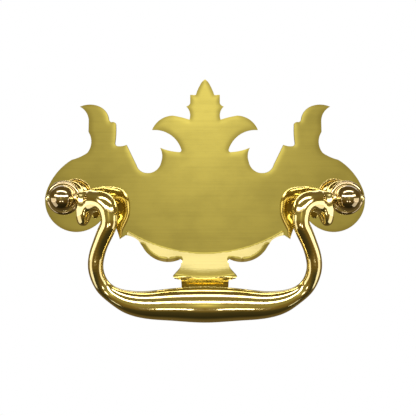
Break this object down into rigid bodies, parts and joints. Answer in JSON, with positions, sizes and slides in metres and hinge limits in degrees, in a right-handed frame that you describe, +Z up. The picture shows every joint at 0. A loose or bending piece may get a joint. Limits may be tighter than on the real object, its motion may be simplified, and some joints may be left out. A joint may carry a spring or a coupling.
{
  "type": "bail pull",
  "caption": "Brass drawer pull: scrolled flat backplate with horned ears and a leafy crest, ball posts on threaded shanks, and a bail that swings between them.",
  "frame": {"origin": "midway between the two posts, level with their axes, on the backplate's back face", "axes": "X to the right along the line of the posts, Y into the drawer front, Z up"},
  "size_m": [0.0904, 0.0484, 0.0662],
  "materials": {
    "plate_brass": "satin, faintly brushed lengthwise, lacquered",
    "polished_brass": "polished and lacquered",
    "nut_brass": "plain turned brass"
  },
  "bodies": {
    "plate": {"backplate": "plate_brass", "post_left": "polished_brass", "post_right": "polished_brass", "nut_left": "nut_brass", "nut_right": "nut_brass"},
    "bail": {"bail": "polished_brass"}
  },
  "joints": [
    {"name": "bail_swing", "type": "hinge", "parent": "plate", "child": "bail", "pos_m": [0, -0.0147, 0], "axis": [-1, 0, 0], "range_deg": [-12, 180]}
  ]
}
